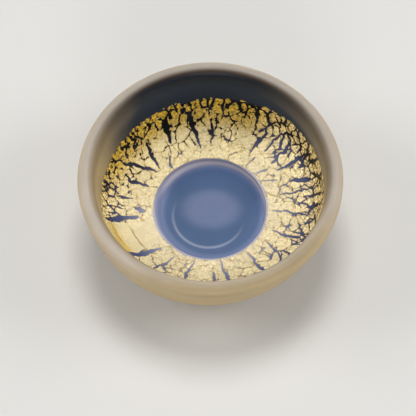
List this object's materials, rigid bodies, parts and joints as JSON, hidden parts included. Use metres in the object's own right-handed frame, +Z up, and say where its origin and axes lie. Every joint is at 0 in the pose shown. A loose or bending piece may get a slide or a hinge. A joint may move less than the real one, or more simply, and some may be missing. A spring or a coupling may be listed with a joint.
{
  "type": "sake cup",
  "caption": "Low round sake cup of thick satin opal glass with a rolled lip, a crackled gold-leaf lining around a bare blue well, and a small ground foot.",
  "frame": {"origin": "centre of the bounding box at the level of the foot, which is straight below the centre of the lip", "axes": "+Z up, square to the lip and the foot; -X is the side that the blown body leans to; the cup is mirrored across the XZ plane"},
  "size_m": [0.08, 0.08, 0.031],
  "materials": {
    "opal_glass": "satin",
    "gold_leaf": "satin"
  },
  "bodies": {
    "root": {"cup": "opal_glass"}
  },
  "joints": []
}
